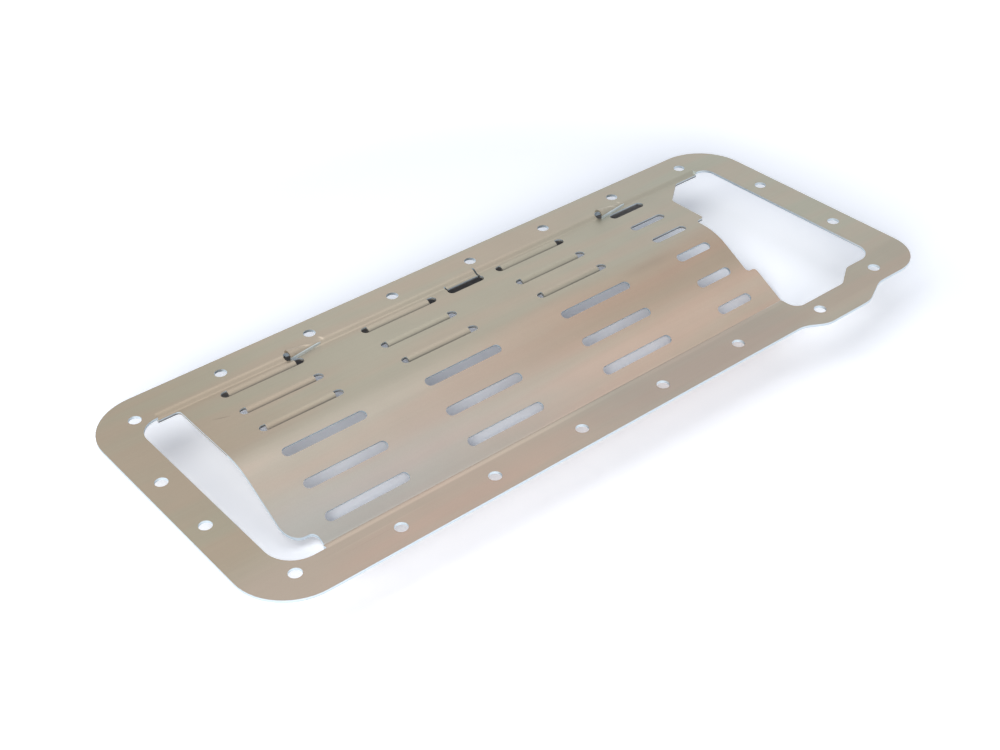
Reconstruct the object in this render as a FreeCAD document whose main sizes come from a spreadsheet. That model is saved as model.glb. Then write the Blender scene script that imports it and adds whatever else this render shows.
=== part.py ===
import FreeCAD, Part
import math
import os
import re
import Sketcher

# Louvered windage tray for an inline row of crank throws, one sheet of plated steel.
# A flat rail runs all round and its top face, z = 0, meets the block. A panel hangs on the
# back of the rail by a stepped seam, lies flat under three rows of louvers, then bends down
# as a slotted ramp. From the ramp's foot a steep wall, hidden in the photo, rises to the
# crease along the front rail. X runs along the crank and -Y is the front. The origin lies on
# the rail's top plane, midway between the two rows of bolts and in the middle of the longer
# one.

NODE = "windage_tray"

# Driving sizes in millimetres and degrees.
SIZES = [
    ("gauge", 2.0, "sheet thickness"),
    ("overlap", 1.0, "how far a joined piece runs into the metal, or a cut past it"),
    # The rail round the outside.
    ("rail_width", 238.7, "outer width of the rail"),
    ("left_rail", 28.15, "rail left of the left port"),
    ("right_rail", 28.25, "rail right of the right port"),
    ("back_rail", 31.15, "rail behind the ports"),
    ("front_rail", 29.55, "rail in front of the left port"),
    ("front_lip", 30.7, "rail in front of the crease"),
    ("corner_round", 39.5, "outer corners"),
    ("swell_corner_round", 31.0, "outer corner beside the swell"),
    # The swell in the front edge, with the rail in front of the right port.
    ("swell_inset", 56.35, "from the right end to the swell"),
    ("swell_right_slope", 24.0, "length of the swell's right slope"),
    ("swell_crest", 44.9, "length of its crest"),
    ("swell_left_slope", 15.7, "length of its left slope"),
    ("swell_reach", 9.4, "how far it stands out of the front edge"),
    ("swell_step", 2.45, "how far the front edge stays back right of it"),
    ("swell_round", 21.0, "rounding along it"),
    ("swell_rail", 27.55, "rail between its crest and the port"),
    ("right_front_rail", 28.2, "rail in front of the port, right of the swell"),
    # Bolt holes.
    ("bolt_hole", 8.9, "clearance hole for a rail bolt"),
    ("bolt_pitch", 72.75, "pitch of the bolts along both rails"),
    ("rail_shift", 8.0, "middle of the rail, right of the middle of the back row of bolts"),
    ("bolt_inset", 15.45, "rows from the rail's edge"),
    ("left_corner_bolt_end", 31.95, "left corner bolts from the end"),
    ("left_corner_bolt_side", 23.75, "left corner bolts from the side"),
    ("right_corner_bolt_end", 44.35, "right corner bolts from the end"),
    ("right_corner_bolt_side", 17.25, "right corner bolts from the side"),
    ("left_end_bolt", 13.65, "left pair from the end"),
    ("left_end_pitch", 53.4, "pitch of the left pair"),
    ("left_end_shift", 1.4, "left pair behind the middle line"),
    ("right_end_bolt", 15.25, "right pair from the end"),
    ("right_end_pitch", 76.4, "pitch of the right pair"),
    ("right_end_shift", 0.4, "right pair behind the middle line"),
    ("swell_bolt", 24.6, "bolt in the swell, from where the swell starts"),
    ("swell_bolt_inset", 16.05, "bolt in the swell, from the crest"),
    # The ports beside the panel.
    ("left_port", 32.6, "left port, from the rail to the panel"),
    ("left_port_lip", 29.7, "left port along its front edge"),
    ("left_back_round", 15.6, "back corner of the left port"),
    ("left_front_round", 21.0, "front corner of the left port"),
    ("right_port", 54.7, "right port, from the panel to the rail"),
    ("right_port_reach", 100.1, "right port along its front edge"),
    ("right_slant_start", 31.3, "from the rail to the slanted front edge"),
    ("right_slant", 18.7, "length of the slanted front edge"),
    ("right_back_round", 9.2, "back corner of the right port"),
    ("right_front_round", 14.6, "front corner of the right port"),
    ("port_round", 8.3, "other corners of the right port"),
    # The stepped seam.
    ("seam_left_inset", 16.7, "from the left port's outer side to the seam"),
    ("seam_right_inset", 10.2, "from the right port's outer side to the seam"),
    ("seam_offset", 6.0, "seam behind the back edge of the ports"),
    ("seam_drop", 2.6, "panel's top face below the rail's"),
    ("seam_slope", 38.0, "slope of the step"),
    ("seam_inside", 2.5, "inside bend radius of the step"),
    # The panel, the ramp and the wall in front of it.
    ("bend_margin", 7.25, "flat between the third row and the bend"),
    ("bend_round", 52.2, "radius of the bend on the top face"),
    ("ramp_slope", 29.3, "slope of the ramp"),
    ("foot_round", 6.0, "radius between ramp and wall on the top face"),
    ("wall_slope", 50.0, "slope of the wall, steep enough to stay out of the photo's view"),
    ("crease_round", 5.0, "radius between wall and front rail on the top face"),
    ("foot_start", 68.35, "from the start of the bend to the narrower foot"),
    ("foot_step", 19.0, "how much narrower the foot is at the left"),
    ("foot_outer_round", 12.0, "outer corner above the foot"),
    ("foot_inner_round", 5.2, "inner corner above the foot"),
    ("shoulder_width", 21.3, "slanted back corner of the panel, along X"),
    ("shoulder_depth", 17.2, "slanted back corner of the panel, along Y"),
    ("shoulder_round", 6.0, "rounding of that corner"),
    ("panel_corner_round", 3.0, "inner corner at the left end of the panel's back"),
    ("recess_start", 52.7, "from the back edge of the ports to the recess"),
    ("recess_length", 56.5, "recess in the right edge of the panel"),
    ("recess_depth", 8.4, "depth of the recess"),
    ("recess_round", 3.0, "corners of the recess"),
    # Slots and louvers.
    ("slot_width", 7.2, "width of slots and louvers"),
    ("slot_length", 66.0, "long slots and louvers"),
    ("short_slot", 33.7, "slots of the fourth column"),
    ("first_margin", 29.5, "panel's left edge to the first column"),
    ("first_pitch", 115.8, "first column to the second"),
    ("second_pitch", 123.7, "second column to the third"),
    ("third_pitch", 116.9, "third column to the fourth"),
    ("last_margin", 21.2, "fourth column to the panel's right edge"),
    ("first_row", 10.6, "seam to the first row"),
    ("row_pitch", 24.1, "rows on the flat panel"),
    ("bend_row_pitch", 27.0, "third row to the row in the bend, along the top face"),
    ("ramp_row_pitch", 25.9, "rows on the ramp"),
    ("vane_gap", 5.85, "open slot beside each end of a vane"),
    ("vane_inside", 3.4, "inside bend radius of a vane"),
    ("vane_drop", 7.2, "reach of a vane below the panel's top face"),
    # The split tab in the middle and the two hoods on the seam.
    ("tab_gap", 12.0, "second column to the slot of the split tab"),
    ("tab_slot", 32.6, "length of that slot"),
    ("slit_width", 1.4, "slits at both ends of the slot"),
    ("right_slit_reach", 0.9, "right slit behind the seam"),
    ("left_slit_short", 3.6, "left slit in front of the seam"),
    ("first_hood_gap", 7.5, "mouth of the first hood from the first column's end"),
    ("second_hood_gap", 6.2, "mouth of the second hood from the fourth column"),
    ("hood_line", 2.8, "hoods in front of the seam"),
    ("hood_length", 26.5, "length of a hood"),
    ("hood_half", 4.6, "half the width of a hood at its mouth"),
    ("hood_tail", 1.2, "half the width of a hood at its closed end"),
    ("hood_rise", 3.4, "height of a hood over the rail at its mouth"),
    ("hood_wall", 1.3, "wall of a hood, drawn thinner than the sheet"),
]
ALIASES = {alias for alias, size, note in SIZES}

# Places built up from the sizes: along X from the ends, along Y from the middle line.
COLUMNS = "first_pitch + second_pitch + third_pitch"
PANEL_WIDTH = "first_margin + %s + short_slot + last_margin" % COLUMNS
RAIL_LENGTH = "left_rail + left_port + %s + right_port + right_rail" % PANEL_WIDTH
RIGHT_END = "rail_shift + (%s) / 2" % RAIL_LENGTH
LEFT_END = "rail_shift - (%s) / 2" % RAIL_LENGTH
LEFT_PORT = LEFT_END + " + left_rail"
PANEL_LEFT = LEFT_PORT + " + left_port"
RIGHT_PORT = RIGHT_END + " - right_rail"
PANEL_RIGHT = RIGHT_PORT + " - right_port"
SEAM_LEFT = LEFT_PORT + " + seam_left_inset"
SEAM_RIGHT = RIGHT_PORT + " - seam_right_inset"
FIRST_COLUMN = PANEL_LEFT + " + first_margin"
COLUMN_PLACES = [
    (FIRST_COLUMN, "slot_length"),
    (FIRST_COLUMN + " + first_pitch", "slot_length"),
    (FIRST_COLUMN + " + first_pitch + second_pitch", "slot_length"),
    (FIRST_COLUMN + " + " + COLUMNS, "short_slot"),
]
BACK_EDGE = "rail_width / 2"
FRONT_EDGE = "-1 * rail_width / 2"
PORT_BACK = BACK_EDGE + " - back_rail"
SEAM = PORT_BACK + " + seam_offset"
ROW_PLACES = [SEAM + " - first_row - %d * row_pitch" % row for row in range(3)]
BEND_START = ROW_PLACES[2] + " - bend_margin"
BEND_REACH = "bend_round * tan(ramp_slope / 2)"
BEND = "(%s - %s)" % (BEND_START, BEND_REACH)
LIP = FRONT_EDGE + " + front_lip"
LIP_LEFT = LEFT_PORT + " + left_port_lip"
LIP_RIGHT = RIGHT_PORT + " - right_port_reach"
CREASE = "(%s + crease_round * tan(wall_slope / 2))" % LIP
FALL_REACH = "((%s - %s) * tan(wall_slope) - seam_drop) / (tan(ramp_slope) + tan(wall_slope))"
FOOT_REACH = "(%s)" % FALL_REACH % (BEND, CREASE)
FOOT = "%s - %s" % (BEND, FOOT_REACH)

doc = FreeCAD.newDocument(NODE)
sheet = doc.addObject("Spreadsheet::Sheet", "Sizes")
for line, (alias, size, note) in enumerate(SIZES, start=1):
    sheet.set("A%d" % line, note)
    sheet.set("B%d" % line, str(size))
    sheet.setAlias("B%d" % line, alias)
doc.recompute()
body = doc.addObject("PartDesign::Body", "Tray")
body.Label = NODE


def sized(formula):
    """The formula with each alias written as the sheet's cell."""
    def cell(word):
        return "Sizes." + word.group() if word.group() in ALIASES else word.group()
    return re.sub(r"[a-z_]+", cell, formula)


def value(formula):
    """The number that the formula gives with the sheet as it stands."""
    return float(sheet.evalExpression(sized(formula)))


def new_sketch(name, role, **offset):
    """A sketch on an origin plane of the body, with its offset bound to formulas."""
    sketch = body.newObject("Sketcher::SketchObject", name)
    planes = {feature.Role: feature for feature in body.Origin.OriginFeatures}
    sketch.AttachmentSupport = [(planes[role], "")]
    sketch.MapMode = "FlatFace"
    if "tilt" in offset:
        sketch.AttachmentOffset = FreeCAD.Placement(
            FreeCAD.Vector(), FreeCAD.Rotation(FreeCAD.Vector(1, 0, 0), value(offset["tilt"])))
        sketch.setExpression("AttachmentOffset.Rotation.Angle", sized(offset["tilt"]))
    for direction in "yz":
        if direction in offset:
            sketch.setExpression("AttachmentOffset.Base." + direction, sized(offset[direction]))
    return sketch


def bind(sketch, constraints):
    """Adds (constraint, formula) pairs and ties those with a formula to the sheet."""
    numbers = sketch.addConstraint([constraint for constraint, formula in constraints])
    for number, (constraint, formula) in zip(numbers, constraints):
        if formula:
            sketch.setExpression("Constraints[%d]" % number, sized(formula))


def held(geometry, vertex, x, y):
    """The two constraints that hold a vertex at the formulas x and y."""
    return [
        (Sketcher.Constraint("DistanceX", -1, 1, geometry, vertex, value(x)), x),
        (Sketcher.Constraint("DistanceY", -1, 1, geometry, vertex, value(y)), y),
    ]


def draw_line(sketch, start, end):
    return sketch.addGeometry(Part.LineSegment(start, end), False)


def draw_arc(sketch, centre, radius, start, end):
    circle = Part.Circle(centre, FreeCAD.Vector(0, 0, 1), radius)
    return sketch.addGeometry(Part.ArcOfCircle(circle, start, end), False)


def add_outline(sketch, corners):
    """A closed outline of straight edges between corners (x, y, radius), sharp where None."""
    count = len(corners)
    points = [FreeCAD.Vector(value(x), value(y), 0) for x, y, radius in corners]
    arrive, leave, rounds = [], [], []
    for i, (x, y, radius) in enumerate(corners):
        before = (points[i - 1] - points[i]).normalize()
        after = (points[(i + 1) % count] - points[i]).normalize()
        size = value(radius) if radius else 0.0
        half = before.getAngle(after) / 2
        arrive.append(points[i] + before * (size / math.tan(half)))
        leave.append(points[i] + after * (size / math.tan(half)))
        middle = points[i] + (before + after).normalize() * (size / math.sin(half))
        rounds.append((middle, size))
    marks = [sketch.addGeometry(Part.Point(point), True) for point in points]
    edges = [draw_line(sketch, leave[i], arrive[(i + 1) % count]) for i in range(count)]
    constraints = []
    for i, (x, y, radius) in enumerate(corners):
        constraints += held(marks[i], 1, x, y)
        if not radius:
            for edge, end in ((edges[i - 1], 2), (edges[i], 1)):
                joint = Sketcher.Constraint("Coincident", edge, end, marks[i], 1)
                constraints.append((joint, None))
            continue
        middle, size = rounds[i]
        start, end = arrive[i] - middle, leave[i] - middle
        forward = start.cross(end).z > 0
        if not forward:
            start, end = end, start
        arc = draw_arc(sketch, middle, size, math.atan2(start.y, start.x), math.atan2(end.y, end.x))
        first, last = (1, 2) if forward else (2, 1)
        constraints += [
            (Sketcher.Constraint("Tangent", edges[i - 1], 2, arc, first), None),
            (Sketcher.Constraint("Tangent", edges[i], 1, arc, last), None),
            (Sketcher.Constraint("PointOnObject", marks[i], 1, edges[i - 1]), None),
            (Sketcher.Constraint("PointOnObject", marks[i], 1, edges[i]), None),
            (Sketcher.Constraint("Radius", arc, size), radius),
        ]
    bind(sketch, constraints)


def add_slot(sketch, start, length, middle, width, upright=False):
    """A slot with round ends from `start` on, along X or, where upright, along Y."""
    half = value(width) / 2
    near, far = value(start) + half, value(start) + value(length) - half
    turn = math.pi / 2 if upright else 0.0
    quarter = math.pi / 2
    run = FreeCAD.Vector(math.cos(turn), math.sin(turn), 0)
    side = FreeCAD.Vector(-run.y, run.x, 0)
    across = side * (value(middle) * (-1 if upright else 1))
    low, high = run * near + across, run * far + across
    low_end = draw_arc(sketch, low, half, turn + quarter, turn + 3 * quarter)
    high_end = draw_arc(sketch, high, half, turn - quarter, turn + quarter)
    one = draw_line(sketch, low + side * half, high + side * half)
    two = draw_line(sketch, low - side * half, high - side * half)
    places = [start + " + %s / 2" % width, "%s + %s - %s / 2" % (start, length, width)]
    if upright:
        holds = held(low_end, 3, middle, places[0]) + held(high_end, 3, middle, places[1])[1:]
    else:
        holds = held(low_end, 3, places[0], middle) + held(high_end, 3, places[1], middle)[:1]
    bind(sketch, holds + [
        (Sketcher.Constraint("Tangent", one, 1, low_end, 1), None),
        (Sketcher.Constraint("Tangent", two, 1, low_end, 2), None),
        (Sketcher.Constraint("Tangent", two, 2, high_end, 1), None),
        (Sketcher.Constraint("Tangent", one, 2, high_end, 2), None),
        (Sketcher.Constraint("Equal", low_end, high_end), None),
        (Sketcher.Constraint("Vertical" if upright else "Horizontal", one), None),
        (Sketcher.Constraint("Radius", low_end, half), width + " / 2"),
    ])


def add_arch(sketch, middle, half_width, foot, crown):
    """A round-topped arch from the height `foot` up to the height `crown`."""
    half = value(half_width)
    axis, bottom = value(middle), value(foot)
    spring = value(crown) - half
    corners = [FreeCAD.Vector(axis + side * half, height, 0)
               for side, height in ((1, spring), (-1, spring), (-1, bottom), (1, bottom))]
    top = draw_arc(sketch, FreeCAD.Vector(axis, spring, 0), half, 0, math.pi)
    left = draw_line(sketch, corners[1], corners[2])
    base = draw_line(sketch, corners[2], corners[3])
    right = draw_line(sketch, corners[3], corners[0])
    bind(sketch, held(top, 3, middle, "%s - (%s)" % (crown, half_width)) + [
        (Sketcher.Constraint("Tangent", top, 2, left, 1), None),
        (Sketcher.Constraint("Tangent", right, 2, top, 1), None),
        (Sketcher.Constraint("Coincident", left, 2, base, 1), None),
        (Sketcher.Constraint("Coincident", base, 2, right, 1), None),
        (Sketcher.Constraint("Horizontal", base), None),
        (Sketcher.Constraint("Vertical", left), None),
        (Sketcher.Constraint("Radius", top, half), half_width),
        (Sketcher.Constraint("DistanceY", -1, 1, base, 1, bottom), foot),
    ])


def pad(sketch, length, downward=False):
    """Adds the sketch's area, pushed out over a length."""
    feature = body.newObject("PartDesign::Pad", sketch.Name + "Pad")
    feature.Profile = sketch
    feature.setExpression("Length", sized(length))
    feature.Reversed = downward
    doc.recompute()


def pocket(sketch, depth=None):
    """Cuts the sketch's area away below it, right through or to a depth."""
    before = body.Shape.Volume
    feature = body.newObject("PartDesign::Pocket", sketch.Name + "Pocket")
    feature.Profile = sketch
    if depth:
        feature.setExpression("Length", sized(depth))
    else:
        feature.Type = "ThroughAll"
    doc.recompute()
    if not body.Shape.Volume < before:
        raise RuntimeError(sketch.Name + " removed nothing")


def make_panel():
    """Seam, flat panel, bend, ramp and wall as one section, pushed out along X and trimmed."""
    step = "tan(seam_slope / 2)"
    step_top = "%s - (seam_inside + gauge) * %s" % (SEAM, step)
    step_foot = "%s - seam_drop / tan(seam_slope)" % step_top
    foot_level = "-1 * seam_drop - %s * tan(ramp_slope)" % FOOT_REACH
    foot_under = "gauge / cos((wall_slope + ramp_slope) / 2)"
    foot_lean = "(wall_slope - ramp_slope) / 2"
    section = new_sketch("PanelSection", "YZ_Plane", z=SEAM_LEFT)
    add_outline(section, [
        (SEAM + " + overlap", "0", None),
        (step_top, "0", "seam_inside + gauge"),
        (step_foot, "-1 * seam_drop", "seam_inside"),
        (BEND, "-1 * seam_drop", "bend_round"),
        (FOOT, foot_level, "foot_round"),
        (CREASE, "0", "crease_round"),
        (LIP + " - overlap", "0", None),
        (LIP + " - overlap", "-1 * gauge", None),
        (CREASE + " - gauge * tan(wall_slope / 2)", "-1 * gauge", "crease_round - gauge"),
        ("%s - %s * sin(%s)" % (FOOT, foot_under, foot_lean),
         "%s - %s * cos(%s)" % (foot_level, foot_under, foot_lean), "foot_round + gauge"),
        (BEND + " + gauge * tan(ramp_slope / 2)", "-1 * seam_drop - gauge", "bend_round - gauge"),
        (step_foot + " + gauge * " + step, "-1 * seam_drop - gauge", "seam_inside + gauge"),
        (step_top + " + gauge * " + step, "-1 * gauge", "seam_inside"),
        (SEAM + " + overlap", "-1 * gauge", None),
    ])
    pad(section, "%s - (%s)" % (SEAM_RIGHT, SEAM_LEFT))

    past_lip = LIP + " - 2 * overlap"
    foot_left = PANEL_LEFT + " + foot_step"
    foot_back = BEND_START + " - foot_start"
    left = new_sketch("LeftTrim", "XY_Plane")
    add_outline(left, [
        (SEAM_LEFT + " - overlap", PORT_BACK, None),
        (SEAM_LEFT + " - overlap", past_lip, None),
        (LIP_LEFT, past_lip, None),
        (LIP_LEFT, CREASE, None),
        (foot_left, FOOT, None),
        (foot_left, foot_back, "foot_inner_round"),
        (PANEL_LEFT, foot_back, "foot_outer_round"),
        (PANEL_LEFT, PORT_BACK, "panel_corner_round"),
    ])
    pocket(left)

    recess_back = PORT_BACK + " - recess_start"
    recess_front = recess_back + " - recess_length"
    recess_side = PANEL_RIGHT + " - recess_depth"
    right = new_sketch("RightTrim", "XY_Plane")
    add_outline(right, [
        (SEAM_RIGHT + " + overlap", PORT_BACK, None),
        (PANEL_RIGHT + " + shoulder_width", PORT_BACK, "shoulder_round"),
        (PANEL_RIGHT, PORT_BACK + " - shoulder_depth", "shoulder_round"),
        (PANEL_RIGHT, recess_back, "recess_round"),
        (recess_side, recess_back, "recess_round"),
        (recess_side, recess_front, "recess_round"),
        (PANEL_RIGHT, recess_front, "recess_round"),
        (PANEL_RIGHT, FOOT, "foot_inner_round"),
        (LIP_RIGHT, CREASE, None),
        (LIP_RIGHT, past_lip, None),
        (SEAM_RIGHT + " + overlap", past_lip, None),
    ])
    pocket(right)


def make_rail():
    """The flat rail: its outer edge with the swell, and the inner edge round ports and panel."""
    swell_right = RIGHT_END + " - swell_inset"
    crest_right = swell_right + " - swell_right_slope"
    crest_left = crest_right + " - swell_crest"
    swell_left = crest_left + " - swell_left_slope"
    crest = FRONT_EDGE + " - swell_reach"
    stepped = FRONT_EDGE + " + swell_step"
    rail = new_sketch("Rail", "XY_Plane")
    add_outline(rail, [
        (RIGHT_END, BACK_EDGE, "corner_round"),
        (LEFT_END, BACK_EDGE, "corner_round"),
        (LEFT_END, FRONT_EDGE, "corner_round"),
        (swell_left, FRONT_EDGE, "swell_round"),
        (crest_left, crest, "swell_round"),
        (crest_right, crest, "swell_round"),
        (swell_right, stepped, "swell_round"),
        (RIGHT_END, stepped, "swell_corner_round"),
    ])
    port_front = FRONT_EDGE + " + front_rail"
    right_front = stepped + " + right_front_rail"
    right_deep = crest + " + swell_rail"
    slant_right = RIGHT_PORT + " - right_slant_start"
    slant_left = slant_right + " - right_slant"
    add_outline(rail, [
        (SEAM_RIGHT, SEAM, None),
        (SEAM_LEFT, SEAM, None),
        (SEAM_LEFT, PORT_BACK, None),
        (LEFT_PORT, PORT_BACK, "left_back_round"),
        (LEFT_PORT, port_front, "left_front_round"),
        (LIP_LEFT, port_front, None),
        (LIP_LEFT, LIP, None),
        (LIP_RIGHT, LIP, None),
        (LIP_RIGHT, right_deep, "port_round"),
        (slant_left, right_deep, "port_round"),
        (slant_right, right_front, "port_round"),
        (RIGHT_PORT, right_front, "right_front_round"),
        (RIGHT_PORT, PORT_BACK, "right_back_round"),
        (SEAM_RIGHT, PORT_BACK, None),
    ])
    pad(rail, "gauge", downward=True)
    make_bolt_holes(swell_left + " + swell_bolt", crest + " + swell_bolt_inset")


def make_bolt_holes(swell_bolt_x, swell_bolt_y):
    """Rows of six and five along the sides, four corners, a pair in each end, one in the swell."""
    places = [(swell_bolt_x, swell_bolt_y)]
    for step in range(6):
        along = "bolt_pitch * %s" % (step - 2.5)
        places.append((along, BACK_EDGE + " - bolt_inset"))
        if step < 5:
            places.append((along, FRONT_EDGE + " + bolt_inset"))
    for edge, inward in ((BACK_EDGE, " - "), (FRONT_EDGE, " + ")):
        places.append((LEFT_END + " + left_corner_bolt_end", edge + inward + "left_corner_bolt_side"))
        places.append((RIGHT_END + " - right_corner_bolt_end", edge + inward + "right_corner_bolt_side"))
        places.append((LEFT_END + " + left_end_bolt", "left_end_shift%sleft_end_pitch / 2" % inward))
        places.append((RIGHT_END + " - right_end_bolt", "right_end_shift%sright_end_pitch / 2" % inward))
    bolts = new_sketch("BoltHoles", "XY_Plane")
    size = value("bolt_hole")
    for x, y in places:
        circle = Part.Circle(FreeCAD.Vector(value(x), value(y), 0), FreeCAD.Vector(0, 0, 1), size / 2)
        hole = bolts.addGeometry(circle, False)
        bind(bolts, held(hole, 3, x, y) + [
            (Sketcher.Constraint("Diameter", hole, size), "bolt_hole"),
        ])
    pocket(bolts)


def make_openings():
    """Three rows through the flat panel, one in the bend and two down the ramp."""
    flat = new_sketch("FlatOpenings", "XY_Plane")
    for row in ROW_PLACES:
        for start, length in COLUMN_PLACES:
            add_slot(flat, start, length, row, "slot_width")
    pocket(flat)

    # Rows below the flat lie along the top face, so each has a height and a tilt of its own.
    bend_axis = "-1 * seam_drop - bend_round"
    turn = "((bend_row_pitch - bend_margin) / bend_round * 180 / %r)" % math.pi
    arc_length = "bend_round * ramp_slope * %r / 180" % math.pi
    along_ramp = "(bend_row_pitch + %s * ramp_row_pitch - bend_margin - " + arc_length + ")"
    rows = [(turn, "0")] + [("ramp_slope", along_ramp % row) for row in (1, 2)]
    for number, (tilt, along) in enumerate(rows, start=4):
        height = "(bend_round + overlap)"
        middle = "%s - %s * sin(%s) - %s * cos(%s)" % (BEND_START, height, tilt, along, tilt)
        level = "%s + %s * cos(%s) - %s * sin(%s)" % (bend_axis, height, tilt, along, tilt)
        sloped = new_sketch("Row%dOpenings" % number, "XY_Plane", y=middle, z=level, tilt=tilt)
        for start, length in COLUMN_PLACES:
            add_slot(sloped, start, length, "0", "slot_width")
        pocket(sloped, "gauge + 2 * overlap")


def make_vanes():
    """A vane hangs from the back edge of every long slot in the flat rows, open at both ends."""
    for number, (start, length) in enumerate(COLUMN_PLACES[:3], start=1):
        vanes = new_sketch("Vanes%d" % number, "YZ_Plane", z=start + " + vane_gap")
        for row in ROW_PLACES:
            root = row + " + slot_width / 2"
            inner = root + " - vane_inside"
            outer = inner + " - gauge"
            add_outline(vanes, [
                (root + " + overlap", "-1 * seam_drop", None),
                (outer, "-1 * seam_drop", "vane_inside + gauge"),
                (outer, "-1 * seam_drop - vane_drop", None),
                (inner, "-1 * seam_drop - vane_drop", None),
                (inner, "-1 * seam_drop - gauge", "vane_inside"),
                (root + " + overlap", "-1 * seam_drop - gauge", None),
            ])
        pad(vanes, length + " - 2 * vane_gap")


def make_split_tab():
    """A slot between the second and third columns with a slit back from each end."""
    start = COLUMN_PLACES[1][0] + " + slot_length + tab_gap"
    cuts = new_sketch("SplitTab", "XY_Plane")
    add_slot(cuts, start, "tab_slot", ROW_PLACES[0], "slot_width")
    pocket(cuts)
    right = start + " + tab_slot - slit_width"
    slits = new_sketch("TabSlits", "XY_Plane")
    reach = "first_row + right_slit_reach"
    add_slot(slits, ROW_PLACES[0], reach, right, "slit_width", upright=True)
    reach = "first_row - left_slit_short"
    add_slot(slits, ROW_PLACES[0], reach, start + " + slit_width", "slit_width", upright=True)
    pocket(slits)


def make_hoods():
    """Two half-round hoods pressed up out of the seam, open at the left and closed at the right."""
    starts = [
        ("FirstHood", FIRST_COLUMN + " + slot_length - first_hood_gap"),
        ("SecondHood", COLUMN_PLACES[3][0] + " - second_hood_gap"),
    ]
    line = SEAM + " - hood_line"
    for name, mouth in starts:
        for part, kind, shrink, foot in (
            ("Shell", "PartDesign::AdditiveLoft", "", "-1 * seam_drop - gauge / 2"),
            ("Hollow", "PartDesign::SubtractiveLoft", " - hood_wall", "-1 * seam_drop - gauge - overlap"),
        ):
            wide = new_sketch(name + part + "Mouth", "YZ_Plane", z=mouth + (" - overlap" if shrink else ""))
            add_arch(wide, line, "hood_half" + shrink, foot, "hood_rise" + shrink)
            tail_place = mouth + " + hood_length" + (" - 2 * hood_wall" if shrink else "")
            tail = new_sketch(name + part + "Tail", "YZ_Plane", z=tail_place)
            add_arch(tail, line, "hood_tail" + (" / 3" if shrink else ""), foot, "hood_tail / 4" + shrink)
            loft = body.newObject(kind, name + part)
            loft.Profile = wide
            loft.Sections = [tail]
            loft.Ruled = True
            doc.recompute()
        opening = new_sketch(name + "Opening", "XY_Plane")
        circle = Part.Circle(FreeCAD.Vector(value(mouth), value(line), 0), FreeCAD.Vector(0, 0, 1),
                             value("hood_half - hood_wall"))
        hole = opening.addGeometry(circle, False)
        bind(opening, held(hole, 3, mouth, line) + [
            (Sketcher.Constraint("Radius", hole, value("hood_half - hood_wall")), "hood_half - hood_wall"),
        ])
        pocket(opening)


make_panel()
make_rail()
make_openings()
make_vanes()
make_split_tab()
make_hoods()

doc.recompute()
for item in doc.Objects:
    if "Invalid" in item.State or "Error" in item.State:
        raise RuntimeError("%s failed: %s" % (item.Name, item.State))
shape = body.Shape
if shape.isNull() or not shape.isValid() or len(shape.Solids) != 1:
    raise RuntimeError("the tray is not one valid solid")
box = shape.BoundBox
print("box %.2f x %.2f x %.2f mm" % (box.XLength, box.YLength, box.ZLength))
print("volume %.0f mm3" % shape.Volume)
os.makedirs("parts", exist_ok=True)
shape.exportStep("parts/%s.step" % NODE)
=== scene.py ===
from math import radians

import bpy
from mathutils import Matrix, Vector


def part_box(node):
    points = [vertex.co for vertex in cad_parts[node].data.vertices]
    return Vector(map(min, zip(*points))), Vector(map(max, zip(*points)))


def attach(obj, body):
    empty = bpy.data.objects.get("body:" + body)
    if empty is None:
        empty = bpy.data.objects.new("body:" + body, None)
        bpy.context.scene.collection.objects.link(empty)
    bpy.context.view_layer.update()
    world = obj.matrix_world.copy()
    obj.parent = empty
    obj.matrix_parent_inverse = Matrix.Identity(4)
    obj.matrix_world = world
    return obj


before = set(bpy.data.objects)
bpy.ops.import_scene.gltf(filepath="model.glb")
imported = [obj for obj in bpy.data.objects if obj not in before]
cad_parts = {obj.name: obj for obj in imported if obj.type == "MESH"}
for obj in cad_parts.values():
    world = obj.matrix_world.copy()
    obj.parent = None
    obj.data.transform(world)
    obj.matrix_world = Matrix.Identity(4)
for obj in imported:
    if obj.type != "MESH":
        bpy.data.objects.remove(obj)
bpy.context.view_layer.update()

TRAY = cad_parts["windage_tray"]
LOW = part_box("windage_tray")[0]


def linear(level):
    """One 0 to 255 colour level as the linear light it stands for."""
    share = level / 255
    if share <= 0.04045:
        return share / 12.92
    return ((share + 0.055) / 1.055) ** 2.4


def colour(red, green, blue):
    return (linear(red), linear(green), linear(blue), 1)


# Places on the tray in millimetres: along it from left to right, across it from front to back,
# and up from the rail's top face. A pair is where a fade starts and ends.
MILLIMETRES_PER_METRE = 1000
BELOW_RAIL = (-2.1, -2.5)
INTO_PANEL = (-2.7, -3.2)
DOWN_VANES = (-2.7, -4.4)
ROWS_START = (27, 29)
ROWS_END = (88, 87)
SEAM_FRONT, SEAM_BACK = 87.8, 94.5
CREASE_FRONT, CREASE_BACK = -89.6, -84.0
CREASE_LEFT, CREASE_RIGHT = -224, 168
BAND_FRONT, BAND_BACK = -112, -90

# Changes of the sheet's tone, which is 1 where nothing changes it.
GRAIN_TONES = {"Tone": 0.16, "Cloud": 0.07, "Streak": 0.06}
# Painted shade: darkens the seam's slope, which faces the front and catches light.
SEAM_SLOPE_PAINTED_SHADE = -0.14
# Painted shade: weakens the highlight on the vanes' rolled bends.
VANE_BEND_PAINTED_SHADE = -0.16
# A darker band on the front rail beside the crease, right of the middle.
DARKER_BAND = -0.05
# Painted highlight along the crease, stronger at the left.
CREASE_HIGHLIGHT_RIGHT, CREASE_HIGHLIGHT_LEFT = 0.06, 0.22

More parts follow.
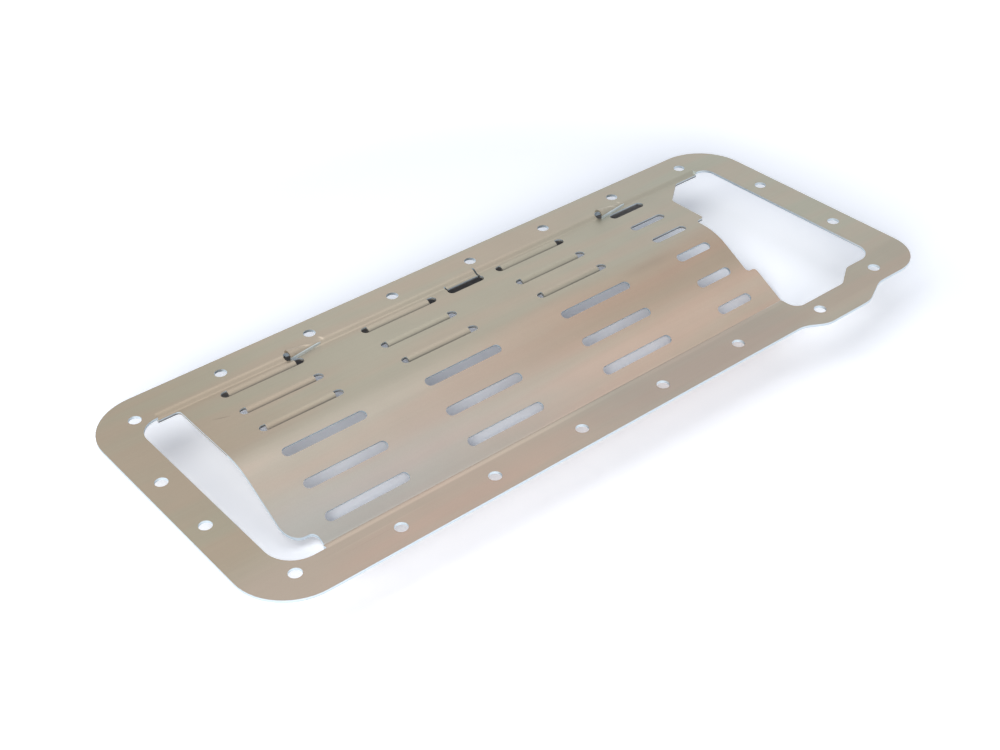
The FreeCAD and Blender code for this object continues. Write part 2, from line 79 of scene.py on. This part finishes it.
# Marks on the sheet: name, middle and turn in millimetres and degrees, size, and change of tone.
MARKS = [
    ("scratch by the second louver", (-206, 63, -2.6), 20, 16, 1.6, -0.28),
    # The four marks on and past the hoods are scuffs brightened further with painted glints.
    ("scuff and painted glint on the first hood", (-122, 92, 0), 25, 16, 3.0, 0.45),
    ("nick and painted glint past the first hood", (-106, 94, 0), 70, 7, 3.0, 0.60),
    ("scuff and painted glint on the second hood", (168, 92, 0), 25, 15, 3.0, 0.40),
    ("nick and painted glint past the second hood", (180, 94, 0), 70, 6, 2.5, 0.45),
    ("dark streak in the bend", (140, 16, -4), 0, 90, 14, -0.10),
    ("rubbed line on the front rail", (-190, -97, 0), 0, 110, 1.6, 0.06),
    ("second rubbed line", (-200, -101, 0), 0, 90, 1.4, -0.05),
]

# Colours of the sheet, its cut edges and vanes, and the web. The zones by position hold the
# plating's tint with painted reflections; the vane fronts and the web hold painted shade, and the
# cut edges a painted highlight.
FLAT_LEFT = colour(164, 154, 138)
FLAT_MIDDLE = colour(173, 165, 151)
FLAT_RIGHT = colour(169, 165, 153)
FRONT_LEFT = colour(174, 158, 146)
FRONT_MIDDLE = colour(168, 158, 148)
FRONT_SWELL = colour(171, 162, 150)
RAMP_LEFT = colour(166, 156, 146)
RAMP_RIGHT = colour(166, 149, 134)
FOOT_LEFT = colour(165, 160, 156)
FOOT_RIGHT = colour(187, 170, 156)
# Cut edges: pale steel, brightened further with a painted highlight.
CUT_EDGE_WITH_PAINTED_HIGHLIGHT = colour(205, 216, 222)
# Painted shade: the vanes' lower fronts, where no light gets in.
VANE_FRONT_PAINTED_SHADE = colour(112, 108, 104)
# Painted shade: the web's two tones are darkened as if in the shadow under the seam.
WEB_PAINTED_SHADE_LIGHTER = colour(112, 108, 104)
WEB_PAINTED_SHADE_DARKER = colour(96, 94, 94)
GREENER_BAND = (0.97, 1.01, 1.0, 1)
PINKER_BAND = (1.03, 0.99, 0.98, 1)

# Gloss of the plated steel, how uneven it is, and its tooth and clouds.
METALLIC = 0.9
SHEET_ROUGHNESS, SHEET_UNEVENNESS = 0.42, 0.16
WEB_ROUGHNESS, WEB_UNEVENNESS = 0.5, 0.2
TOOTH_FINENESS = 1.1
TOOTH_STRENGTH = 0.12
TOOTH_HEIGHT = 0.0001
SHEET_CLOUDS, WEB_CLOUDS = 0.03, 0.05

# Shading of the tray's own mesh: the widest seam that it closes, in metres, and the sharpest turn
# that it shades smooth, in degrees.
SEAM_GAP = 0.00001
SMOOTH_TURN = 20

# The web under the rail behind the seam, in metres.
WEB_LENGTH, WEB_THICKNESS, WEB_DEPTH = 0.429, 0.002, 0.0156
WEB_MIDDLE = (0.0005, 0.0964)
WEB_TOP = -0.002
WEB_CORNER = 0.008
WEB_RIM = 0.0003

# The stage's brightness, for the light that it sends to the tray and for the eye, and in metres
# the floor's size and how far from the tray its glow rises.
PAPER_TO_TRAY = (0.38, 0.38, 0.40, 1)
PAPER_TO_EYE = (1.15, 1.17, 1.21, 1)
SKY_TO_TRAY = (0.22, 0.235, 0.26, 1)
GLOW_AT_TRAY = (0.12, 0.135, 0.17, 1)
BLACK, WHITE = (0, 0, 0, 1), (1, 1, 1, 1)
FLOOR_SIZE = 12
GLOW_RISES = (0.34, 0.75)

# Softboxes: name, place in metres, turn in degrees, size in metres and power in watts.
LAMPS = [
    ("overhead_softbox", (0.1, 0.15, 1.5), (0, 0, 0), (1.8, 1.2), 4.8),
    ("left_softbox", (-1.1, 0, 1.3), (0, -40, 0), (1.0, 1.0), 6),
    ("front_left_softbox", (-1.3, -1.4, 0.9), (65, 0, -43), (1.4, 0.8), 40),
]
LAMP_TINT = (1, 0.99, 0.97)

CAMERA_PLACE = (-0.5666, -0.6852, 0.6187)
CAMERA_TURN = (53.809, 1.235, -39.464)
CAMERA_LENS = 55.61
CAMERA_FILM = 36
CAMERA_NEAR = 0.01


def node(tree, kind, name, **settings):
    made = tree.nodes.new(kind)
    made.name = name
    made.label = name
    for key, setting in settings.items():
        setattr(made, key, setting)
    return made


def feed(tree, source, target):
    """Joins source to the socket target, or sets target to it when it is a plain value."""
    if isinstance(source, bpy.types.NodeSocket):
        tree.links.new(source, target)
    else:
        target.default_value = source


def calculate(tree, operation, name, *terms):
    made = node(tree, "ShaderNodeMath", name, operation=operation)
    for term, target in zip(terms, made.inputs):
        feed(tree, term, target)
    return made.outputs[0]


def both(tree, first, second, name):
    """A mask that is 1 where both masks are."""
    return calculate(tree, "MULTIPLY", name, first, second)


def change(tree, value, mask, amount, name):
    """The value, with amount times the mask added to it."""
    return calculate(tree, "MULTIPLY_ADD", name, mask, amount, value)


def combine(tree, operation, first, second, name):
    """Subtracts or multiplies two vectors, or scales the first one by a number."""
    made = node(tree, "ShaderNodeVectorMath", name, operation=operation)
    feed(tree, first, made.inputs[0])
    feed(tree, second, made.inputs["Scale" if operation == "SCALE" else 1])
    return made.outputs[0]


def split(tree, vector, name):
    made = node(tree, "ShaderNodeSeparateXYZ", name)
    feed(tree, vector, made.inputs[0])
    return made.outputs


def blend(tree, share, first, second, name):
    """A colour that is first where share is 0, and second where it is 1."""
    made = node(tree, "ShaderNodeMix", name, data_type="RGBA")
    feed(tree, share, made.inputs["Factor"])
    feed(tree, first, made.inputs[6])
    feed(tree, second, made.inputs[7])
    return made.outputs[2]


def fade(tree, position, start, end, name, low=0.0, high=1.0):
    """Goes smoothly from low to high while position goes from start to end."""
    made = node(tree, "ShaderNodeMapRange", name, interpolation_type="SMOOTHSTEP")
    feed(tree, position, made.inputs["Value"])
    feed(tree, start, made.inputs["From Min"])
    feed(tree, end, made.inputs["From Max"])
    feed(tree, low, made.inputs["To Min"])
    feed(tree, high, made.inputs["To Max"])
    return made.outputs["Result"]


def turn_colour(tree, position, start, end, first, second, name):
    """Goes from the first colour to the second while position goes from start to end."""
    return blend(tree, fade(tree, position, start, end, "share of " + name), first, second, name)


def noise(tree, place_on_sheet, scale, detail, name, roughness=0.5):
    made = node(tree, "ShaderNodeTexNoise", name)
    feed(tree, place_on_sheet, made.inputs["Vector"])
    feed(tree, scale, made.inputs["Scale"])
    made.inputs["Detail"].default_value = detail
    made.inputs["Roughness"].default_value = roughness
    return made.outputs["Fac"]


def stretch(tree, place_on_sheet, scale, name, shift=(0, 0, 0)):
    made = node(tree, "ShaderNodeMapping", name)
    feed(tree, place_on_sheet, made.inputs["Vector"])
    made.inputs["Scale"].default_value = scale
    made.inputs["Location"].default_value = shift
    return made.outputs[0]


def new_group(name, takes, gives):
    group = bpy.data.node_groups.new(name, "ShaderNodeTree")
    for label, kind, standard in takes:
        socket = group.interface.new_socket(label, in_out="INPUT", socket_type=kind)
        if standard is not None:
            socket.default_value = standard
    for label, kind in gives:
        group.interface.new_socket(label, in_out="OUTPUT", socket_type=kind)
    start, end = group.nodes.new("NodeGroupInput"), group.nodes.new("NodeGroupOutput")
    return group, start.outputs, end.inputs


def place(tree, group, name, **values):
    made = node(tree, "ShaderNodeGroup", name, node_tree=group)
    for label, source in values.items():
        feed(tree, source, made.inputs[label.replace("_", " ")])
    return made.outputs


def make_stripe_group():
    """A mask that is 1 between two positions and fades out beyond them."""
    group, takes, gives = new_group(
        "stripe",
        [("Position", "NodeSocketFloat", 0.0), ("Start", "NodeSocketFloat", 0.0),
         ("End", "NodeSocketFloat", 1.0), ("Soft", "NodeSocketFloat", 1.0)],
        [("Mask", "NodeSocketFloat")])
    before = calculate(group, "SUBTRACT", "before start", takes["Start"], takes["Soft"])
    after = calculate(group, "ADD", "after end", takes["End"], takes["Soft"])
    rise = fade(group, takes["Position"], before, takes["Start"], "rise")
    fall = fade(group, takes["Position"], takes["End"], after, "fall", 1.0, 0.0)
    feed(group, both(group, rise, fall, "both"), gives["Mask"])
    return group


def make_grain_group():
    """The fine tooth of plated sheet: tones about 0, a tint, and a height for the bump."""
    group, takes, gives = new_group(
        "plated grain",
        [("Place", "NodeSocketVector", None), ("Fineness", "NodeSocketFloat", 1.5),
         ("Cloud size", "NodeSocketFloat", 0.03)],
        [("Tone", "NodeSocketFloat"), ("Cloud", "NodeSocketFloat"), ("Streak", "NodeSocketFloat"),
         ("Tint", "NodeSocketColor"), ("Height", "NodeSocketFloat")])
    fine = noise(group, takes["Place"], takes["Fineness"], 3, "fine tooth", 0.65)
    cloud = noise(group, takes["Place"], takes["Cloud size"], 2, "plating clouds")
    rolled = stretch(group, takes["Place"], (0.012, 0.35, 0.35), "stretched along the sheet")
    streak = noise(group, rolled, 1, 3, "rolled streaks")
    for label, level in (("Tone", fine), ("Cloud", cloud), ("Streak", streak)):
        feed(group, calculate(group, "SUBTRACT", label + " about 0", level, 0.5), gives[label])
    wide = stretch(group, takes["Place"], (0.006, 0.06, 0.06), "wider bands", (3, 7, 1))
    bands = noise(group, wide, 1, 1, "tinted bands")
    tint = turn_colour(group, bands, 0.35, 0.65, GREENER_BAND, PINKER_BAND, "band tint")
    feed(group, tint, gives["Tint"])
    feed(group, fine, gives["Height"])
    return group


def make_scratch_group():
    """A mask that is 1 on a short straight mark and fades out round it."""
    group, takes, gives = new_group(
        "scratch",
        [("Place", "NodeSocketVector", None), ("Centre", "NodeSocketVector", None),
         ("Angle", "NodeSocketFloat", 0.0), ("Length", "NodeSocketFloat", 8.0),
         ("Width", "NodeSocketFloat", 0.8)],
        [("Mask", "NodeSocketFloat")])
    turned = node(group, "ShaderNodeVectorRotate", "along the mark", rotation_type="Z_AXIS")
    feed(group, takes["Place"], turned.inputs["Vector"])
    feed(group, takes["Centre"], turned.inputs["Center"])
    feed(group, takes["Angle"], turned.inputs["Angle"])
    offset = combine(group, "SUBTRACT", turned.outputs[0], takes["Centre"], "from its middle")
    far_along, far_across, far_up = [calculate(group, "ABSOLUTE", "off in " + side.name, side)
                                     for side in split(group, offset, "mark x y z")]
    half_length = calculate(group, "MULTIPLY", "half length", takes["Length"], 0.5)
    half_width = calculate(group, "MULTIPLY", "half width", takes["Width"], 0.5)
    mark = both(group, fade(group, far_along, half_length, 0.0, "fade along"),
                fade(group, far_across, half_width, 0.0, "fade across"), "in the mark")
    mark = both(group, mark, fade(group, far_up, 8.0, 5.0, "near the top face"), "mark")
    feed(group, mark, gives["Mask"])
    return group


STRIPE = make_stripe_group()
GRAIN = make_grain_group()
SCRATCH = make_scratch_group()


def stripe(tree, position, start, end, soft, name):
    return place(tree, STRIPE, name, Position=position, Start=start, End=end, Soft=soft)["Mask"]


def sheet_place(tree):
    """Place on the tray in millimetres, and the way that the surface faces."""
    coordinates = node(tree, "ShaderNodeTexCoord", "on the tray").outputs
    spot = combine(tree, "SCALE", coordinates["Object"], MILLIMETRES_PER_METRE, "in millimetres")
    return spot, coordinates["Normal"]


def sheet_colour(tree, along, across, height):
    """Khaki plating that turns pinker towards the front and greyer down the ramp, in zones that add
    painted reflections to its tint; the ramp colour starts early over the bend as painted shade on
    its highlight.
    """
    flat = turn_colour(tree, along, -260, -80, FLAT_LEFT, FLAT_MIDDLE, "flat sheet, left")
    flat = turn_colour(tree, along, 40, 240, flat, FLAT_RIGHT, "flat sheet")
    front = turn_colour(tree, along, -80, 20, FRONT_LEFT, FRONT_MIDDLE, "front rail, left")
    front = turn_colour(tree, along, 130, 190, front, FRONT_SWELL, "front rail")
    rail = turn_colour(tree, across, -58, -95, flat, front, "rail and panel")
    ramp = turn_colour(tree, along, -150, 120, RAMP_LEFT, RAMP_RIGHT, "top of the ramp")
    foot = turn_colour(tree, along, -200, 140, FOOT_LEFT, FOOT_RIGHT, "foot of the ramp")
    ramp = turn_colour(tree, across, -4, -32, ramp, foot, "ramp")
    on_ramp = both(tree, fade(tree, across, 38, 6, "over the bend"),
                   fade(tree, height, *BELOW_RAIL, "below the rail"), "on ramp")
    return blend(tree, on_ramp, rail, ramp, "sheet")


def sheet_tone(tree, along, across, grain, leaning):
    """Grain, painted shade on the seam slope and vane bends, a painted crease highlight, and a
    darker band.
    """
    tone = 1.0
    for label, amount in GRAIN_TONES.items():
        tone = change(tree, tone, grain[label], amount, label + " of the grain")

    # Painted shade on the seam's slope.
    seam = both(tree, stripe(tree, across, SEAM_FRONT, SEAM_BACK, 0.5, "along the seam"),
                fade(tree, leaning, 0.05, 0.5, "leaning to the front"), "seam slope")
    tone = change(tree, tone, seam, SEAM_SLOPE_PAINTED_SHADE, "painted shade on the seam slope")

    # Painted shade on the vanes' bends, against their highlight.
    rows = both(tree, fade(tree, across, *ROWS_START, "flat rows"),
                fade(tree, across, *ROWS_END, "before the seam"), "rows")
    vanes = both(tree, rows, fade(tree, leaning, 0.08, 0.4, "rolled down"), "vane bend")
    tone = change(tree, tone, vanes, VANE_BEND_PAINTED_SHADE, "painted shade on the vane bends")

    # Painted highlight along the crease, stronger to the left of the middle.
    ridge = both(tree, stripe(tree, across, CREASE_FRONT, CREASE_BACK, 1.5, "along the crease"),
                 stripe(tree, along, CREASE_LEFT, CREASE_RIGHT, 4, "length of the crease"), "ridge")
    painted_highlight_strength = fade(tree, along, 10, -70, "left of the middle", CREASE_HIGHLIGHT_RIGHT, CREASE_HIGHLIGHT_LEFT)
    tone = change(tree, tone, ridge, painted_highlight_strength, "painted highlight on the crease")

    band = both(tree, stripe(tree, across, BAND_FRONT, BAND_BACK, 9, "beside the crease"),
                fade(tree, along, -60, 20, "right of the middle"), "darker band")
    return change(tree, tone, band, DARKER_BAND, "band beside the crease")


def with_marks(tree, tone, spot):
    for name, centre, angle, length, width, amount in MARKS:
        mark = place(tree, SCRATCH, name, Place=spot, Centre=centre, Angle=radians(angle),
                     Length=length, Width=width)
        tone = change(tree, tone, mark["Mask"], amount, name + " tone")
    return tone


def vane_shade(tree, across, height, leaning):
    """1 low on a vane's front, where no light gets to it; its shade is painted into the colour."""
    on_vane = both(tree, fade(tree, across, *ROWS_START, "flat part"),
                   fade(tree, height, *INTO_PANEL, "below the panel"), "on a vane")
    return both(tree, on_vane, fade(tree, leaning, 0.6, 0.95, "turned down"), "vane front")


def sheared_edges(tree, across, height, upright):
    """1 on the sheet's cut edges, but not on hoods and vanes."""
    cut = both(tree, fade(tree, upright, 0.60, 0.54, "sheared edge"),
               fade(tree, height, 0.1, 0.0, "not a hood"), "sheared")
    vanes = both(tree, fade(tree, height, *DOWN_VANES, "under the panel"),
                 fade(tree, across, *ROWS_START, "by the vanes"), "vanes")
    return both(tree, cut, calculate(tree, "SUBTRACT", "not a vane", 1.0, vanes), "edge not vane")


def new_material(name):
    material = bpy.data.materials.new(name)
    material.use_nodes = True
    return material, material.node_tree, material.node_tree.nodes["Principled BSDF"]


def make_plated_steel():
    material, tree, shader = new_material("plated_steel_sheet")
    spot, normal = sheet_place(tree)
    along, across, height = split(tree, spot, "x y z")
    facing = split(tree, normal, "facing")
    upright = calculate(tree, "ABSOLUTE", "how level", facing["Z"])
    leaning = calculate(tree, "MULTIPLY", "towards the front", facing["Y"], -1.0)

    grain = place(tree, GRAIN, "sheet grain",
                  Place=spot, Fineness=TOOTH_FINENESS, Cloud_size=SHEET_CLOUDS)
    tone = with_marks(tree, sheet_tone(tree, along, across, grain, leaning), spot)
    toned = combine(tree, "SCALE", sheet_colour(tree, along, across, height), tone, "toned")
    tinted = combine(tree, "MULTIPLY", toned, grain["Tint"], "tinted")
    shade = vane_shade(tree, across, height, leaning)
    # Painted shade on the vanes' lower fronts.
    sheet = blend(tree, shade, tinted, VANE_FRONT_PAINTED_SHADE, "sheet and painted vane shade")
    # Cut edges get their pale steel colour with a painted highlight.
    edges = sheared_edges(tree, across, height, upright)
    feed(tree, blend(tree, edges, sheet, CUT_EDGE_WITH_PAINTED_HIGHLIGHT, "with bright edges"),
         shader.inputs["Base Color"])
    shader.inputs["Metallic"].default_value = METALLIC
    feed(tree, change(tree, SHEET_ROUGHNESS, grain["Tone"], SHEET_UNEVENNESS, "uneven gloss"),
         shader.inputs["Roughness"])
    bump = node(tree, "ShaderNodeBump", "tooth")
    bump.inputs["Strength"].default_value = TOOTH_STRENGTH
    bump.inputs["Distance"].default_value = TOOTH_HEIGHT
    feed(tree, grain["Height"], bump.inputs["Height"])
    feed(tree, bump.outputs[0], shader.inputs["Normal"])
    return material


def make_dull_steel_with_painted_shade():
    """The same sheet where it hangs unseen under the seam: dull, and darkened with painted shade.
    """
    material, tree, shader = new_material("dull_plated_steel_painted_shade")
    spot, _ = sheet_place(tree)
    grain = place(tree, GRAIN, "web grain",
                  Place=spot, Fineness=TOOTH_FINENESS, Cloud_size=WEB_CLOUDS)
    stain = calculate(tree, "ADD", "stain", grain["Cloud"], 0.5)
    feed(tree, blend(tree, stain, WEB_PAINTED_SHADE_DARKER, WEB_PAINTED_SHADE_LIGHTER, "web colour with painted shade"), shader.inputs["Base Color"])
    shader.inputs["Metallic"].default_value = METALLIC
    feed(tree, change(tree, WEB_ROUGHNESS, grain["Tone"], WEB_UNEVENNESS, "dull gloss"),
         shader.inputs["Roughness"])
    return material


def seen_directly(tree):
    """1 for what the eye sees, also in gloss or through glass, and 0 for what lights the tray."""
    paths = node(tree, "ShaderNodeLightPath", "who looks").outputs
    seen = calculate(tree, "MAXIMUM", "camera or gloss",
                     paths["Is Camera Ray"], paths["Is Glossy Ray"])
    return calculate(tree, "MAXIMUM", "or glass", seen, paths["Is Transmission Ray"])


def make_floor_paper():
    """Matt white paper on a table that only the eye and the tray's gloss see as lit."""
    material, tree, unused_shader = new_material("floor_paper")
    tree.nodes.remove(unused_shader)
    seen = seen_directly(tree)
    paper = node(tree, "ShaderNodeBsdfDiffuse", "paper")
    feed(tree, blend(tree, seen, PAPER_TO_TRAY, PAPER_TO_EYE, "paper colour"),
         paper.inputs["Color"])
    coordinates = node(tree, "ShaderNodeTexCoord", "on the table")
    distance = node(tree, "ShaderNodeVectorMath", "from the tray", operation="LENGTH")
    feed(tree, coordinates.outputs["Object"], distance.inputs[0])
    lit = turn_colour(tree, distance.outputs["Value"], *GLOW_RISES,
                      GLOW_AT_TRAY, WHITE, "table brightness")
    glow = node(tree, "ShaderNodeEmission", "table glow")
    feed(tree, blend(tree, seen, BLACK, lit, "glow colour"), glow.inputs["Color"])
    added = node(tree, "ShaderNodeAddShader", "paper and glow")
    feed(tree, paper.outputs[0], added.inputs[0])
    feed(tree, glow.outputs[0], added.inputs[1])
    feed(tree, added.outputs[0], tree.nodes["Material Output"].inputs["Surface"])
    return material


def finish_tray(material):
    TRAY.data.materials.clear()
    TRAY.data.materials.append(material)
    for face in TRAY.data.polygons:
        face.use_smooth = True
    weld = TRAY.modifiers.new("close_seams", "WELD")
    weld.merge_threshold = SEAM_GAP
    edges = TRAY.modifiers.new("keep_edges", "EDGE_SPLIT")
    edges.split_angle = radians(SMOOTH_TURN)
    even = TRAY.modifiers.new("even_shading", "WEIGHTED_NORMAL")
    even.mode = "FACE_AREA"


def round_low_corners(web, middle_height):
    """Rounds the web's two lower corners."""
    bpy.ops.object.mode_set(mode="EDIT")
    bpy.ops.mesh.select_mode(type="EDGE")
    bpy.ops.mesh.select_all(action="DESELECT")
    bpy.ops.object.mode_set(mode="OBJECT")
    places = [vertex.co for vertex in web.data.vertices]
    for edge in web.data.edges:
        ends = [places[number] for number in edge.vertices]
        low = all(end.z < middle_height for end in ends)
        edge.select = low and abs(ends[0].y - ends[1].y) > WEB_THICKNESS / 2
    bpy.ops.object.mode_set(mode="EDIT")
    bpy.ops.mesh.bevel(offset=WEB_CORNER, segments=8)
    bpy.ops.object.mode_set(mode="OBJECT")


def add_seam_web(material):
    """A web under the rail behind the seam, which darkens what is seen through the first row."""
    middle_height = WEB_TOP - WEB_DEPTH / 2
    bpy.ops.object.select_all(action="DESELECT")
    bpy.ops.mesh.primitive_cube_add(size=1, location=(*WEB_MIDDLE, middle_height))
    web = bpy.context.object
    web.name = "seam_web"
    web.scale = (WEB_LENGTH, WEB_THICKNESS, WEB_DEPTH)
    bpy.ops.object.transform_apply(location=True, rotation=True, scale=True)
    round_low_corners(web, middle_height)
    rim = web.modifiers.new("rim", "BEVEL")
    rim.width = WEB_RIM
    rim.segments = 2
    bpy.ops.object.modifier_apply(modifier=rim.name)
    bpy.ops.object.shade_smooth_by_angle(angle=radians(30))
    web.data.materials.append(material)
    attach(web, "root")


def add_floor(material):
    bpy.ops.object.select_all(action="DESELECT")
    bpy.ops.mesh.primitive_plane_add(size=FLOOR_SIZE, location=(0, 0, LOW.z))
    floor = bpy.context.object
    floor.name = "floor"
    floor.data.materials.append(material)


def add_lamps():
    for name, spot, turn, size, power in LAMPS:
        angles = [radians(angle) for angle in turn]
        bpy.ops.object.light_add(type="AREA", location=spot, rotation=angles)
        lamp = bpy.context.object
        lamp.name = name
        lamp.data.shape = "RECTANGLE"
        lamp.data.size, lamp.data.size_y = size
        lamp.data.energy = power
        lamp.data.color = LAMP_TINT


def add_sky():
    world = bpy.data.worlds.new("studio")
    bpy.context.scene.world = world
    world.use_nodes = True
    tree = world.node_tree
    feed(tree, blend(tree, seen_directly(tree), SKY_TO_TRAY, WHITE, "sky colour"),
         tree.nodes["Background"].inputs["Color"])


def add_camera():
    angles = [radians(angle) for angle in CAMERA_TURN]
    bpy.ops.object.camera_add(location=CAMERA_PLACE, rotation=angles)
    camera = bpy.context.object
    camera.data.lens = CAMERA_LENS
    camera.data.sensor_width = CAMERA_FILM
    camera.data.clip_start = CAMERA_NEAR
    bpy.context.scene.camera = camera
    bpy.context.scene.view_settings.view_transform = "Standard"


add_sky()
add_lamps()
add_floor(make_floor_paper())
finish_tray(make_plated_steel())
add_seam_web(make_dull_steel_with_painted_shade())
add_camera()
